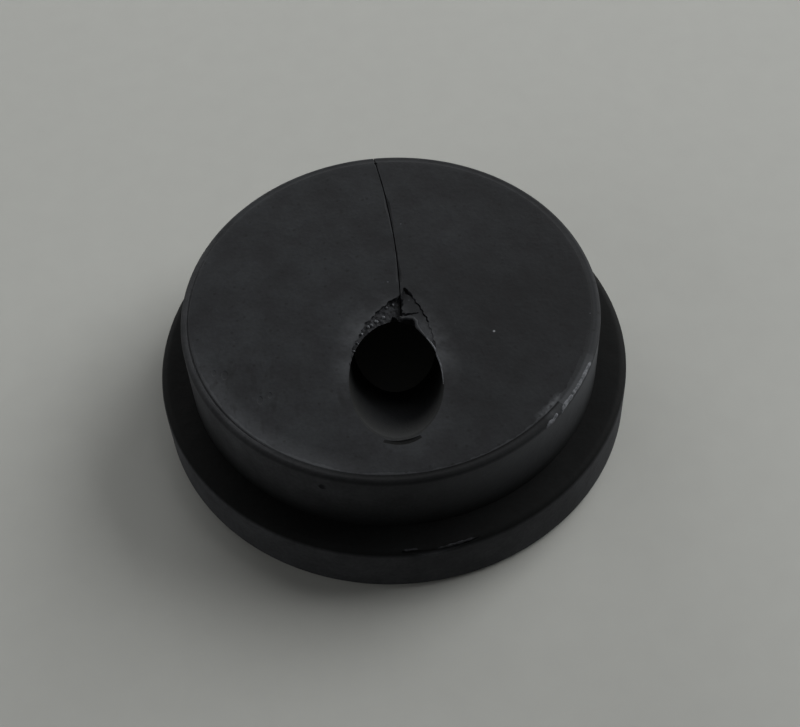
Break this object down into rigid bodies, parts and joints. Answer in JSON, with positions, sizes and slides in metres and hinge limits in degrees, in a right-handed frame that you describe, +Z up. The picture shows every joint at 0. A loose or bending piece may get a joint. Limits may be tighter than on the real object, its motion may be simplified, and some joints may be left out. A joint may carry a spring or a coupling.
{
  "type": "split rubber grommet",
  "caption": "Round rubber grommet: a thick boss on a wider flange, a cable bore that slants through both, its thin far lip torn, and a slit from the tear to the rim.",
  "frame": {"origin": "middle of the flange's underside, on the surface that it stands on", "axes": "+Z up from the flange to the boss; the slanted bore opens in the boss's face towards -Y, and the slit runs towards +Y"},
  "size_m": [0.046, 0.046, 0.0133],
  "materials": {
    "rubber": "matt moulded black rubber with a grey bloom on the boss's face"
  },
  "bodies": {
    "root": {"grommet": "rubber"}
  },
  "joints": []
}
